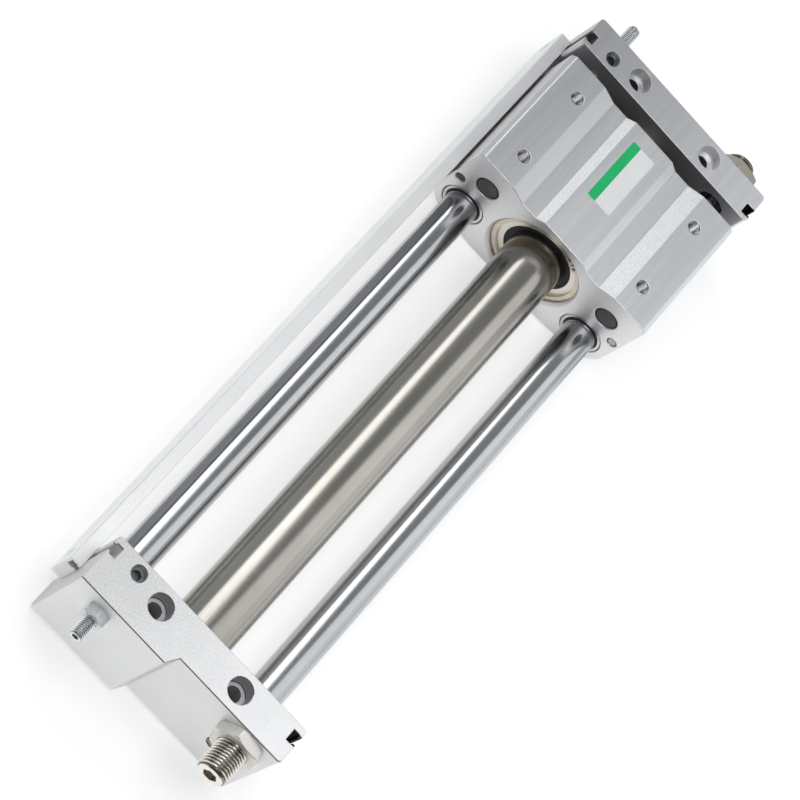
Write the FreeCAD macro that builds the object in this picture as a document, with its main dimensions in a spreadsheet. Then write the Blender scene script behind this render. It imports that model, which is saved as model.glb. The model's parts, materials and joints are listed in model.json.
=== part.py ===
import FreeCAD, Part
import enum
import math
import os
import types
import Sketcher

# Rodless pneumatic cylinder with a magnetically coupled slide table on two guide rods.
# +X runs along the stroke towards the far end plate, +Y towards the switch rail, +Z up.
# The origin is the middle of the four base holes, on the plane that the end plates stand on.
# Sizes are millimetres.

SIZES = {
    # End plates
    "plate_gap": 324.0,
    "plate_past_table": 1.2,
    "plate_height": 53.0,
    "near_thick": 24.5,
    "near_thin": 18.4,
    "far_thick": 17.0,
    "step_y": 7.0,
    "step_run": 3.4,
    "plate_corner": 2.0,
    "plate_foot": 3.0,
    "near_slot_from_inner": 6.4,
    "far_slot_from_inner": 5.2,
    "slot_width": 5.4,
    "slot_depth": 3.0,
    "slot_lip": 1.5,
    "slot_mouth": 3.4,
    # Base holes
    "base_hole_from_inner": 9.0,
    "base_hole_spacing": 45.0,
    "base_hole": 6.6,
    "base_head_hole": 11.0,
    "base_head_depth": 7.0,
    # Pressure tube and its seats
    "tube_outer": 27.8,
    "tube_bore": 25.0,
    "tube_height": 26.5,
    "tube_seat": 10.0,
    "gasket_thick": 1.5,
    "gasket_inner": 22.0,
    "chamber": 20.0,
    "chamber_depth": 3.2,
    # Air ports and the drillings that lead from them to the tube
    "port": 8.6,
    "port_depth": 7.0,
    "port_y": -35.0,
    "port_z": 23.5,
    "gallery": 2.5,
    "gallery_from_inner": 13.9,
    "gallery_z": 21.5,
    "gallery_plug": 4.0,
    "gallery_plug_length": 4.0,
    # Guide rods and the screws that clamp them from below
    "rod": 16.0,
    "rod_spacing": 75.0,
    "rod_height": 17.5,
    "rod_seat": 9.0,
    "clamp_screw": 5.0,
    "clamp_screw_length": 6.0,
    "clamp_from_inner": 5.0,
    "clamp_socket": 2.5,
    "clamp_socket_depth": 2.5,
    # Stroke stops: adjusting bolts on the rail side, shock absorbers on the other side
    "stop_height": 41.5,
    "stop_reach": 1.25,
    "bolt": 6.0,
    "near_bolt_out": 14.0,
    "far_bolt_out": 17.0,
    "bolt_socket": 3.0,
    "bolt_socket_depth": 3.5,
    "bolt_nut": 10.0,
    "bolt_nut_thick": 5.0,
    "lock_screw": 6.8,
    "lock_screw_length": 6.0,
    "lock_from_inner": 6.0,
    "lock_socket": 4.0,
    "lock_socket_depth": 3.0,
    "shock": 14.0,
    "shock_length": 26.5,
    "near_shock_out": 19.5,
    "far_shock_out": 11.5,
    "shock_socket": 6.0,
    "shock_socket_depth": 6.0,
    "shock_nut": 20.5,
    "shock_nut_thick": 5.5,
    "shock_nut_turn": 42.0,
    "plunger": 5.0,
    "plunger_inside": 10.0,
    "plunger_bore_depth": 16.0,
    # Slide table: extruded section with two pads, two grooves and a centre land on top
    "table_length": 71.0,
    "table_far_gap": 8.0,
    "table_top": 54.0,
    "table_bottom": 1.0,
    "bottom_width": 40.0,
    "pad_inner": 31.8,
    "groove_outer": 24.1,
    "groove_inner": 15.7,
    "groove_z": 51.0,
    "land_half": 11.6,
    "land_z": 53.8,
    "pad_edge_width": 2.2,
    "pad_edge_drop": 2.0,
    "table_hole": 6.0,
    "table_hole_depth": 12.0,
    "table_hole_x": 41.0,
    "table_hole_y": 75.0,
    "stop_pad": 11.5,
    "stop_pad_z": 39.3,
    "stop_pad_thick": 5.0,
    "stop_pad_recess": 0.3,
    "side_hole": 4.8,
    "side_hole_from_side": 3.9,
    "side_hole_z": 30.5,
    "side_hole_recess": 0.4,
    "switch_magnet_length": 18.0,
    "side_plug_length": 4.0,
    # Guide bushes and their scrapers
    "bush_outer": 21.0,
    "lobe_wall": 3.8,
    "bush_length": 20.0,
    "bush_nose": 20.2,
    "bush_nose_length": 3.0,
    "bush_recess": 0.3,
    "rod_scraper": 17.6,
    # Outer magnet mover inside the table
    "mover_bore": 45.0,
    "mover_bevel": 48.0,
    "mover_bevel_depth": 1.6,
    "clip_from_end": 2.4,
    "clip_thick": 1.4,
    "clip_groove": 47.0,
    "clip_inner": 40.5,
    "clip_gap": 1.4,
    "clip_lug": 4.0,
    "clip_lug_y": 2.6,
    "clip_lug_hole": 1.6,
    "clip_angle": 30.0,
    "spacer_length": 9.2,
    "spacer_inner": 34.0,
    "tube_scraper_thick": 3.0,
    "tube_scraper_recess": 1.0,
    "yoke_thick": 4.0,
    "outer_magnet_inner": 29.2,
    # Piston with its inner magnets
    "shaft": 8.0,
    "inner_yoke": 24.4,
    "inner_magnet": 24.0,
    "head": 24.4,
    "head_length": 16.0,
    "wear_groove_from_stack": 3.0,
    "wear_groove_length": 4.0,
    "wear_groove_floor": 21.0,
    "seal_groove_from_stack": 10.0,
    "seal_groove_length": 3.0,
    "seal_groove_floor": 18.0,
    "piston_nut": 13.0,
    "piston_nut_thick": 4.5,
    "bumper_outer": 23.0,
    "bumper_inner": 16.4,
    "bumper_length": 6.0,
    # Switch rail on the side of the end plates
    "rail_on_near": 12.5,
    "rail_on_far": 9.5,
    "rail_depth": 5.8,
    "rail_bottom": 14.0,
    "rail_height": 20.0,
    "rail_edge": 0.5,
    "rail_lip": 1.4,
    "rail_mouth": 3.2,
    "rail_channel": 4.6,
    "rail_channel_depth": 2.9,
    "rail_channel_from_top": 3.5,
    "rail_screw": 3.0,
    "rail_screw_head": 5.5,
    "rail_screw_head_thick": 2.0,
    "rail_head_sink": 2.3,
    "rail_nut_height": 12.0,
    # Clearances
    "seat_gap": 0.02,
    "slide_gap": 0.04,
    "stop_gap": 0.05,
    "loose_gap": 0.1,
}

Vector = FreeCAD.Vector
Rotation = FreeCAD.Rotation
ALONG_X = Rotation(Vector(0, 1, 0), 90)
ALONG_Y = Rotation(Vector(1, 0, 0), -90)
ALONG_Z = Rotation()
FULL_TURN = math.degrees(math.tau)
SAME_PLACE = 1e-4
PARALLEL = math.cos(math.radians(2))
# Ratio of a hexagon's corner circle to its width across flats, and a nut's 30 degree chamfer
HEX_CORNER = 1 / math.cos(math.radians(30))
CHAMFER_SLOPE = math.tan(math.radians(60))


class Count(enum.IntEnum):
    MAGNETS = 4
    HEX_SIDES = 6


class Side(enum.IntEnum):
    """Direction from the middle of the cylinder to each end plate."""

    NEAR = -1
    FAR = 1


class Spot(enum.IntEnum):
    """The sketcher's numbers for the points of a line or a circle."""

    START = 1
    END = 2
    CENTRE = 3


class Axis(enum.IntEnum):
    """The sketcher's numbers for the axes of a sketch, whose start is the sketch's origin."""

    HORIZONTAL = -1
    VERTICAL = -2


NEAR = Side.NEAR
FAR = Side.FAR
ORIGIN_POINT = (Axis.HORIZONTAL, Spot.START)


class Size:
    """A length together with the sheet formula that drives it."""

    def __init__(self, value, formula):
        self.value = value
        self.formula = formula

    def __add__(self, other):
        other = as_size(other)
        return Size(self.value + other.value, f"({self.formula} + {other.formula})")

    def __sub__(self, other):
        other = as_size(other)
        return Size(self.value - other.value, f"({self.formula} - {other.formula})")

    def __mul__(self, factor):
        return Size(self.value * factor, f"({self.formula} * {factor})")

    def __truediv__(self, divisor):
        return Size(self.value / divisor, f"({self.formula} / {divisor})")

    def __neg__(self):
        return Size(-self.value, f"(0 - {self.formula})")


def as_size(number):
    return number if isinstance(number, Size) else Size(float(number), f"({number})")


def middle(first, second):
    return (first + second) / 2


doc = FreeCAD.newDocument("RodlessCylinder")
sheet = doc.addObject("Spreadsheet::Sheet", "Sizes")
for row, (alias, number) in enumerate(SIZES.items(), start=1):
    sheet.set(f"A{row}", alias)
    sheet.set(f"B{row}", str(number))
    sheet.setAlias(f"B{row}", alias)
doc.recompute()
size = types.SimpleNamespace(
    **{alias: Size(number, f"Sizes.{alias}") for alias, number in SIZES.items()}
)
ZERO = Size(0.0, "0")
NODES = []

# Places that several pieces share
inner_face = size.plate_gap / 2
rod_y = size.rod_spacing / 2
lobe = size.bush_outer / 2 + size.lobe_wall
table_side = rod_y + lobe
plate_side = table_side + size.plate_past_table
table_far = inner_face - size.table_far_gap
table_near = table_far - size.table_length
table_mid = middle(table_near, table_far)
side_hole_y = table_side - size.side_hole_from_side
stop_face = inner_face - size.stop_reach
lobe_bottom = size.rod_height - lobe
stack_inset = size.clip_from_end + size.clip_thick + size.spacer_length
stack_length = size.table_length - stack_inset * 2
magnet_thick = (stack_length - size.yoke_thick * (Count.MAGNETS + 1)) / Count.MAGNETS


def bind(item, **lengths):
    for name, length in lengths.items():
        item.setExpression(name, as_size(length).formula)


def place(item, x, y, z, rotation=ALONG_Z):
    start = Vector(as_size(x).value, as_size(y).value, as_size(z).value)
    item.Placement = FreeCAD.Placement(start, rotation)
    for name, length in (("x", x), ("y", y), ("z", z)):
        item.setExpression(f"Placement.Base.{name}", as_size(length).formula)
    return item


def turned(item, x, y, z, angle):
    """Places an item after a turn about the X axis."""
    place(item, x, y, z, Rotation(Vector(1, 0, 0), angle.value))
    if angle.value:
        item.setExpression("Placement.Rotation.Angle", angle.formula)
    return item


def node(item):
    """Counts a finished item as a sub-part, which is written to its own file."""
    item.Label = item.Name
    NODES.append(item)
    return item


def bar(name, x, y, z, diameter, length, rotation=ALONG_X):
    item = doc.addObject("Part::Cylinder", name)
    bind(item, Radius=diameter / 2, Height=length)
    return place(item, x, y, z, rotation)


def hexagon(name, x, y, z, flats, length, rotation=ALONG_X):
    item = doc.addObject("Part::Prism", name)
    item.Polygon = Count.HEX_SIDES
    bind(item, Circumradius=flats * HEX_CORNER / 2, Height=length)
    return place(item, x, y, z, rotation)


def block(name, x, y, z, length, width, height):
    item = doc.addObject("Part::Box", name)
    bind(item, Length=length, Width=width, Height=height)
    return place(item, x, y, z)


def cut(name, base, tool):
    item = doc.addObject("Part::Cut", name)
    item.Base = base
    item.Tool = tool
    return item


def fuse(name, base, tool):
    item = doc.addObject("Part::Fuse", name)
    item.Base = base
    item.Tool = tool
    return item


def group(name, items):
    item = doc.addObject("Part::Compound", name)
    item.Links = items
    return item


def ring(name, x, y, z, outer, inner, length):
    outside = bar(f"{name}_outside", x, y, z, outer, length)
    inside = bar(f"{name}_inside", x, y, z, inner, length)
    return cut(name, outside, inside)


def hex_nut(name, face, side, y, z, flats, thick, thread, turn=ZERO):
    """A nut on the outer side of a face, with the corners of both ends chamfered."""
    at = (ZERO, ZERO, ZERO)
    blank = hexagon(f"{name}_prism", *at, flats, thick)
    narrow = flats / 2
    broad = narrow + thick * CHAMFER_SLOPE
    for end, first, last in (("inner", narrow, broad), ("outer", broad, narrow)):
        cone = doc.addObject("Part::Cone", f"{name}_{end}_cone")
        bind(cone, Radius1=first, Radius2=last, Height=thick)
        place(cone, *at, ALONG_X)
        shaped = doc.addObject("Part::Common", f"{name}_{end}_blank")
        shaped.Base = blank
        shaped.Tool = cone
        blank = shaped
    bore = bar(f"{name}_bore", *at, thread + size.slide_gap * 2, thick)
    start = face if side == FAR else face - thick
    return turned(cut(name, blank, bore), start, y, z, turn)


def plane_of(body, role):
    return next(item for item in body.Origin.OriginFeatures if item.Role == role)


def sketch_on(body, name, role, offset=ZERO):
    sketch = body.newObject("Sketcher::SketchObject", name)
    sketch.AttachmentSupport = [(plane_of(body, role), "")]
    sketch.MapMode = "FlatFace"
    if offset.value:
        sketch.setExpression("AttachmentOffset.Base.z", offset.formula)
    return sketch


def fix_point(sketch, geometry, position, x, y):
    """Ties a point of a sketch to the sheet by its distances from the sketch's origin."""
    point = (geometry, position)
    for kind, length, axis in (("DistanceX", x, Axis.VERTICAL), ("DistanceY", y, Axis.HORIZONTAL)):
        if length.value == 0:
            sketch.addConstraint(Sketcher.Constraint("PointOnObject", *point, axis))
            continue
        ends = ORIGIN_POINT + point if length.value > 0 else point + ORIGIN_POINT
        away = length if length.value > 0 else -length
        index = sketch.addConstraint(Sketcher.Constraint(kind, *ends, away.value))
        sketch.setExpression(f"Constraints[{index}]", away.formula)


def outline(sketch, corners):
    """Draws a closed outline of straight lines through the corners."""
    first = sketch.GeometryCount
    count = len(corners)
    for here, there in zip(corners, corners[1:] + corners[:1]):
        ends = [Vector(x.value, y.value) for x, y in (here, there)]
        sketch.addGeometry(Part.LineSegment(*ends))
    for i in range(count):
        following = first + (i + 1) % count
        sketch.addConstraint(Sketcher.Constraint("Coincident", first + i, Spot.END, following, Spot.START))
    for i, (x, y) in enumerate(corners):
        fix_point(sketch, first + i, Spot.START, x, y)


def rectangle(sketch, left, right, low, high):
    outline(sketch, [(left, low), (right, low), (right, high), (left, high)])


def circle(sketch, x, y, diameter):
    shape = Part.Circle(Vector(x.value, y.value), Vector(0, 0, 1), diameter.value / 2)
    index = sketch.addGeometry(shape)
    fix_point(sketch, index, Spot.CENTRE, x, y)
    limit = sketch.addConstraint(Sketcher.Constraint("Diameter", index, diameter.value))
    sketch.setExpression(f"Constraints[{limit}]", diameter.formula)


def pad(body, sketch, length):
    item = body.newObject("PartDesign::Pad", f"{sketch.Name}_pad")
    item.Profile = sketch
    bind(item, Length=length)
    body.Tip = item
    doc.recompute()
    return item


def must_shrink(body, item, before):
    body.Tip = item
    doc.recompute()
    if not item.Shape.Volume < before:
        raise ValueError(f"{item.Name} cuts nothing out of {body.Name}")


def pocket(body, sketch, depth, reverse=False):
    before = body.Tip.Shape.Volume
    item = body.newObject("PartDesign::Pocket", f"{sketch.Name}_pocket")
    item.Profile = sketch
    item.Reversed = reverse
    bind(item, Length=depth)
    must_shrink(body, item, before)


def groove(body, sketch):
    before = body.Tip.Shape.Volume
    item = body.newObject("PartDesign::Groove", f"{sketch.Name}_groove")
    item.Profile = sketch
    item.ReferenceAxis = (sketch, ["H_Axis"])
    item.Angle = FULL_TURN
    must_shrink(body, item, before)


def bores(body, name, role, offset, holes, depth, reverse=False):
    """Cuts round holes of one depth, each given as its centre and diameter in the sketch plane."""
    sketch = sketch_on(body, name, role, offset)
    for x, y, diameter in holes:
        circle(sketch, x, y, diameter)
    pocket(body, sketch, depth, reverse)


def break_edges(body, kind, wanted, **lengths):
    """Adds a Fillet or a Chamfer on the wanted edges of the body so far."""
    base = body.Tip
    names = [f"Edge{i}" for i, edge in enumerate(base.Shape.Edges, start=1) if wanted(edge)]
    item = body.newObject(f"PartDesign::{kind}", f"{base.Name}_{kind.lower()}")
    item.Base = (base, names)
    bind(item, **lengths)
    body.Tip = item
    doc.recompute()


def lies_along(edge, direction, x=None, y=None, z=None):
    """True for a straight edge in the given direction through the given coordinates."""
    if edge.Curve.TypeId != "Part::GeomLine":
        return False
    spot = edge.CenterOfMass
    wanted = [(spot.x, x), (spot.y, y), (spot.z, z)]
    near_enough = all(want is None or abs(have - want) < SAME_PLACE for have, want in wanted)
    return near_enough and abs(edge.Curve.Direction.dot(direction)) > PARALLEL


def lies_level(edge, side, depth):
    """True for a straight bottom edge that lies at least so far out from a plate's inner face."""
    spot = edge.CenterOfMass
    straight = edge.Curve.TypeId == "Part::GeomLine"
    return straight and abs(spot.z) < SAME_PLACE and spot.x * side > depth - SAME_PLACE


def plate_outline(side, outer, slot_at):
    """Top view of an end plate from its inner face outwards, with a T-slot in each end."""
    first = slot_at - size.slot_width / 2
    last = slot_at + size.slot_width / 2
    mouth_first = slot_at - size.slot_mouth / 2
    mouth_last = slot_at + size.slot_mouth / 2
    lip = plate_side - size.slot_lip
    floor = lip - size.slot_depth
    slot = [
        (mouth_first, plate_side), (mouth_first, lip), (first, lip), (first, floor),
        (last, floor), (last, lip), (mouth_last, lip), (mouth_last, plate_side),
    ]
    across = [(x, -y) for x, y in reversed(slot)]
    corners = [(ZERO, plate_side)] + slot + outer + across + [(ZERO, -plate_side)]
    return [(x * side, y) for x, y in corners]


def end_plate(name, side, outer, rounded, thick, thin, slot_at):
    """An end plate: seats for tube and rods, stops, air port, base holes and screw holes."""
    body = doc.addObject("PartDesign::Body", name)
    place(body, inner_face * side, ZERO, ZERO)
    sketch = sketch_on(body, f"{name}_outline", "XY_Plane")
    outline(sketch, plate_outline(side, outer, slot_at))
    pad(body, sketch, size.plate_height)
    corners = [(ZERO, plate_side), (ZERO, -plate_side)] + rounded
    up = Vector(0, 0, 1)
    break_edges(body, "Chamfer", lambda edge: lies_level(edge, side, thin.value), Size=size.plate_foot)
    break_edges(body, "Fillet", lambda edge: any(
        lies_along(edge, up, x.value * side, y.value) for x, y in corners), Radius=size.plate_corner)
    outward = side == FAR
    seat = size.seat_gap * 2
    tube_bottom = size.tube_seat + size.gasket_thick
    tube_at = (ZERO, size.tube_height)
    bores(body, f"{name}_tube_seat", "YZ_Plane", ZERO,
          [(*tube_at, size.tube_outer + seat)], tube_bottom, outward)
    bores(body, f"{name}_chamber", "YZ_Plane", ZERO,
          [(*tube_at, size.chamber)], tube_bottom + size.chamber_depth, outward)
    rods = [(y, size.rod_height, size.rod + seat) for y in (rod_y, -rod_y)]
    bores(body, f"{name}_rod_seats", "YZ_Plane", ZERO, rods, size.rod_seat, outward)
    bores(body, f"{name}_bolt_hole", "YZ_Plane", ZERO,
          [(rod_y, size.stop_height, size.bolt + size.slide_gap * 2)], thick, outward)
    bores(body, f"{name}_shock_hole", "YZ_Plane", ZERO,
          [(-rod_y, size.stop_height, size.shock + seat)], thin, outward)
    bores(body, f"{name}_air_port", "YZ_Plane", thin * side,
          [(size.port_y, size.port_z, size.port)], size.port_depth, not outward)
    gallery_at = (size.gallery_from_inner * side, size.gallery_z)
    bores(body, f"{name}_gallery", "XZ_Plane", plate_side, [(*gallery_at, size.gallery)], plate_side)
    bores(body, f"{name}_gallery_end", "XZ_Plane", plate_side,
          [(*gallery_at, size.gallery_plug + seat)], size.gallery_plug_length)
    base_x = size.base_hole_from_inner * side
    base_y = size.base_hole_spacing / 2
    for part, diameter, depth in (
        ("base_holes", size.base_hole, size.plate_height),
        ("base_head_holes", size.base_head_hole, size.base_head_depth),
    ):
        holes = [(base_x, y, diameter) for y in (base_y, -base_y)]
        bores(body, f"{name}_{part}", "XY_Plane", size.plate_height, holes, depth)
    lock = (size.lock_from_inner * side, rod_y, size.lock_screw + seat)
    bores(body, f"{name}_lock_hole", "XY_Plane", size.plate_height,
          [lock], size.plate_height - size.stop_height)
    clamps = [(size.clamp_from_inner * side, y, size.clamp_screw + seat) for y in (rod_y, -rod_y)]
    bores(body, f"{name}_clamp_holes", "XY_Plane", ZERO, clamps, size.rod_height, True)
    return node(body)


def end_plates():
    step = [
        (size.near_thick, plate_side), (size.near_thick, size.step_y),
        (size.near_thin, size.step_y - size.step_run), (size.near_thin, -plate_side),
    ]
    flat = [(size.far_thick, plate_side), (size.far_thick, -plate_side)]
    end_plate("near_end_plate", NEAR, step, step[-1:],
              size.near_thick, size.near_thin, size.near_slot_from_inner)
    end_plate("far_end_plate", FAR, flat, flat,
              size.far_thick, size.far_thick, size.far_slot_from_inner)


def tube_and_rods():
    tube_end = inner_face + size.tube_seat
    node(ring("cylinder_tube", -tube_end, ZERO, size.tube_height,
              size.tube_outer, size.tube_bore, tube_end * 2))
    rod_end = inner_face + size.rod_seat
    for name, y in (("guide_rod_left", rod_y), ("guide_rod_right", -rod_y)):
        node(bar(name, -rod_end, y, size.rod_height, size.rod, rod_end * 2))
    gaskets = []
    for name, start in (("near", -tube_end - size.gasket_thick), ("far", tube_end)):
        gaskets.append(ring(f"{name}_gasket", start, ZERO, size.tube_height,
                            size.tube_outer, size.gasket_inner, size.gasket_thick))
    node(group("tube_gaskets", gaskets))
    plugs = []
    for name, side in (("near", NEAR), ("far", FAR)):
        x = (inner_face + size.gallery_from_inner) * side
        plugs.append(bar(f"{name}_gallery_plug", x, -plate_side, size.gallery_z,
                         size.gallery_plug, size.gallery_plug_length, ALONG_Y))
    node(group("gallery_plugs", plugs))


def socket_screw(name, x, y, z, diameter, length, flats, socket_depth, up):
    """An upright headless screw with a hexagon socket in its upper or lower end."""
    screw = bar(f"{name}_blank", x, y, z, diameter, length, ALONG_Z)
    start = z + length - socket_depth if up else z
    socket = hexagon(f"{name}_socket", x, y, start, flats, socket_depth, ALONG_Z)
    return cut(name, screw, socket)


def clamp_and_lock_screws():
    clamps, locks = [], []
    for name, side in (("near", NEAR), ("far", FAR)):
        x = (inner_face + size.clamp_from_inner) * side
        top = size.rod_height - size.rod / 2 - size.seat_gap
        for hand, y in (("left", rod_y), ("right", -rod_y)):
            clamps.append(socket_screw(
                f"{name}_{hand}_clamp_screw", x, y, top - size.clamp_screw_length, size.clamp_screw,
                size.clamp_screw_length, size.clamp_socket, size.clamp_socket_depth, False))
        x = (inner_face + size.lock_from_inner) * side
        z = size.stop_height + size.bolt / 2 + size.stop_gap
        locks.append(socket_screw(
            f"{name}_lock_screw", x, rod_y, z, size.lock_screw, size.lock_screw_length,
            size.lock_socket, size.lock_socket_depth, True))
    node(group("rod_clamp_screws", clamps))
    node(group("bolt_lock_screws", locks))


def stroke_stops():
    """Adjusting bolts, shock absorbers and their nuts at both ends."""
    bolt_nuts, shock_nuts = [], []
    for name, side, thick, thin, bolt_out, shock_out in (
        ("near", NEAR, size.near_thick, size.near_thin, size.near_bolt_out, size.near_shock_out),
        ("far", FAR, size.far_thick, size.far_thick, size.far_bolt_out, size.far_shock_out),
    ):
        at = (rod_y, size.stop_height)
        length = size.stop_reach + thick + bolt_out
        outer_end = inner_face + thick + bolt_out
        start = stop_face if side == FAR else -outer_end
        bolt = bar(f"{name}_bolt_blank", start, *at, size.bolt, length)
        start = outer_end - size.bolt_socket_depth if side == FAR else -outer_end
        socket = hexagon(f"{name}_bolt_socket", start, *at, size.bolt_socket, size.bolt_socket_depth)
        node(cut(f"{name}_adjusting_bolt", bolt, socket))
        bolt_nuts.append(hex_nut(f"{name}_bolt_nut", (inner_face + thick) * side, side, *at,
                                 size.bolt_nut, size.bolt_nut_thick, size.bolt))
        at = (-rod_y, size.stop_height)
        outer_end = inner_face + thin + shock_out
        inner_end = outer_end - size.shock_length
        start = inner_end if side == FAR else -outer_end
        body = bar(f"{name}_shock_blank", start, *at, size.shock, size.shock_length)
        start = outer_end - size.shock_socket_depth if side == FAR else -outer_end
        socket = hexagon(f"{name}_shock_socket", start, *at, size.shock_socket, size.shock_socket_depth)
        start = inner_end if side == FAR else -inner_end - size.plunger_bore_depth
        hole = bar(f"{name}_shock_bore", start, *at,
                   size.plunger + size.slide_gap * 2, size.plunger_bore_depth)
        node(cut(f"{name}_shock_body", body, fuse(f"{name}_shock_hollows", socket, hole)))
        shock_nuts.append(hex_nut(f"{name}_shock_nut", (inner_face + thin) * side, side, *at,
                                  size.shock_nut, size.shock_nut_thick, size.shock,
                                  size.shock_nut_turn))
        tip = stop_face + size.stop_gap
        root = inner_end + size.plunger_inside
        start = tip if side == FAR else -root
        node(bar(f"{name}_shock_plunger", start, *at, size.plunger, root - tip))
    node(group("bolt_lock_nuts", bolt_nuts))
    node(group("shock_lock_nuts", shock_nuts))


def table_outline():
    """Half of the table's section from the top middle round to the bottom middle."""
    pad_outer = table_side - size.pad_edge_width
    edge_z = size.table_top - size.pad_edge_drop
    return [
        (size.land_half, size.land_z), (size.groove_inner, size.groove_z),
        (size.groove_outer, size.groove_z), (size.pad_inner, size.table_top),
        (pad_outer, size.table_top), (table_side, edge_z),
        (table_side, lobe_bottom), (rod_y, lobe_bottom), (size.bottom_width / 2, size.table_bottom),
    ]


def slide_table():
    """The extruded table, bored for the mover, the bushes, the stop pads and the side magnets."""
    body = doc.addObject("PartDesign::Body", "slide_table")
    place(body, table_near, ZERO, ZERO)
    half = table_outline()
    sketch = sketch_on(body, "table_section", "YZ_Plane")
    outline(sketch, half + [(-y, z) for y, z in reversed(half)])
    pad(body, sketch, size.table_length)
    sides = (table_side.value, -table_side.value)
    break_edges(body, "Fillet", lambda edge: any(
        lies_along(edge, Vector(1, 0, 0), y=y, z=lobe_bottom.value) for y in sides),
        Radius=lobe - size.loose_gap)
    through = size.table_length
    bores(body, "mover_bore_cut", "YZ_Plane", ZERO,
          [(ZERO, size.tube_height, size.mover_bore)], through, True)
    seat = size.seat_gap * 2
    bores(body, "bush_bores", "YZ_Plane", ZERO,
          [(y, size.rod_height, size.bush_outer + seat) for y in (rod_y, -rod_y)], through, True)
    bores(body, "side_holes", "YZ_Plane", ZERO,
          [(y, size.side_hole_z, size.side_hole + seat) for y in (side_hole_y, -side_hole_y)],
          through, True)
    pads = [(y, size.stop_pad_z, size.stop_pad + seat) for y in (rod_y, -rod_y)]
    pad_depth = size.stop_pad_thick + size.stop_pad_recess
    bores(body, "near_pad_holes", "YZ_Plane", ZERO, pads, pad_depth, True)
    bores(body, "far_pad_holes", "YZ_Plane", through, pads, pad_depth)
    holes = [(through / 2 + size.table_hole_x / 2 * i, size.table_hole_y / 2 * j)
             for i in (-1, 1) for j in (-1, 1)]
    bores(body, "tapped_holes", "XY_Plane", size.table_top,
          [(*at, size.table_hole) for at in holes], size.table_hole_depth)
    ends = sketch_on(body, "mover_ends", "XY_Plane", size.tube_height)
    bore = size.mover_bore / 2
    inside = bore - size.clip_thick
    for end, inward in ((ZERO, 1), (through, -1)):
        bevel_in = end + size.mover_bevel_depth * inward
        outline(ends, [(end, inside), (end, size.mover_bevel / 2), (bevel_in, bore), (bevel_in, inside)])
        clip_in = end + size.clip_from_end * inward
        clip_out = clip_in + size.clip_thick * inward
        rectangle(ends, clip_in, clip_out, inside, size.clip_groove / 2)
    groove(body, ends)
    return node(body)


def bushes_and_scrapers():
    """A bush in each end of each rod bore, with a thin scraper in its narrower nose."""
    bushes, scrapers = [], []
    on_rod = size.rod + size.slide_gap * 2
    nose_in = size.bush_recess + size.bush_nose_length
    for hand, y in (("left", rod_y), ("right", -rod_y)):
        for end, nose_x, bush_x in (
            ("near", table_near + size.bush_recess, table_near + nose_in),
            ("far", table_far - nose_in, table_far - nose_in - size.bush_length),
        ):
            name = f"{end}_{hand}"
            at = (y, size.rod_height)
            sleeve = ring(f"{name}_sleeve", bush_x, *at, size.bush_outer, on_rod, size.bush_length)
            nose = ring(f"{name}_nose", nose_x, *at,
                        size.bush_nose, size.rod_scraper, size.bush_nose_length)
            bushes.append(fuse(f"{name}_bush", sleeve, nose))
            lip = size.rod_scraper - size.seat_gap * 2
            scrapers.append(ring(f"{name}_scraper", nose_x, *at, lip, on_rod, size.bush_nose_length))
    node(group("guide_bushes", bushes))
    node(group("rod_scrapers", scrapers))


def retaining_ring(name, x):
    """An internal circlip: a flat ring with a gap between two pierced lugs."""
    outer = size.clip_groove - size.loose_gap * 2
    band = ring(f"{name}_band", ZERO, ZERO, ZERO, outer, size.clip_inner, size.clip_thick)
    lug_z = size.clip_inner / 2
    lugs, holes = [], []
    for hand, sign in (("first", 1), ("second", -1)):
        at = (ZERO, size.clip_lug_y * sign, lug_z)
        lugs.append(bar(f"{name}_{hand}_lug", *at, size.clip_lug, size.clip_thick))
        holes.append(bar(f"{name}_{hand}_hole", *at, size.clip_lug_hole, size.clip_thick))
    whole = fuse(f"{name}_with_lugs", band, fuse(f"{name}_lugs", *lugs))
    gap = block(f"{name}_gap", ZERO, -size.clip_gap / 2, lug_z - size.clip_lug,
                size.clip_thick, size.clip_gap, size.clip_lug * 2)
    openings = fuse(f"{name}_openings", gap, fuse(f"{name}_holes", *holes))
    return turned(cut(name, whole, openings), x, ZERO, size.tube_height, size.clip_angle)


def mover():
    """What the table's bore holds: magnets, yokes, spacers, wear rings, scrapers and circlips."""
    at = (ZERO, size.tube_height)
    outer = size.mover_bore - size.loose_gap * 2
    on_tube = size.tube_outer + size.slide_gap * 2
    clips, spacers, scrapers, wears = [], [], [], []
    clip_in = size.clip_from_end + size.clip_thick
    scraper_in = clip_in + size.tube_scraper_recess
    wear_in = scraper_in + size.tube_scraper_thick
    wear_thick = stack_inset - wear_in
    for end, clip_x, spacer_x, scraper_x, wear_x in (
        ("near", table_near + size.clip_from_end, table_near + clip_in, table_near + scraper_in,
         table_near + wear_in),
        ("far", table_far - clip_in, table_far - stack_inset, table_far - wear_in,
         table_far - stack_inset),
    ):
        clips.append(retaining_ring(f"{end}_retaining_ring", clip_x))
        spacers.append(ring(f"{end}_spacer", spacer_x, *at, outer, size.spacer_inner, size.spacer_length))
        lining = size.spacer_inner - size.seat_gap * 2
        scrapers.append(ring(f"{end}_tube_scraper", scraper_x, *at,
                             lining, on_tube, size.tube_scraper_thick))
        wears.append(ring(f"{end}_tube_wear_ring", wear_x, *at, lining, on_tube, wear_thick))
    node(group("retaining_rings", clips))
    node(group("mover_spacers", spacers))
    node(group("tube_scrapers", scrapers))
    node(group("tube_wear_rings", wears))
    stack("outer", outer, outer, size.outer_magnet_inner)


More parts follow.
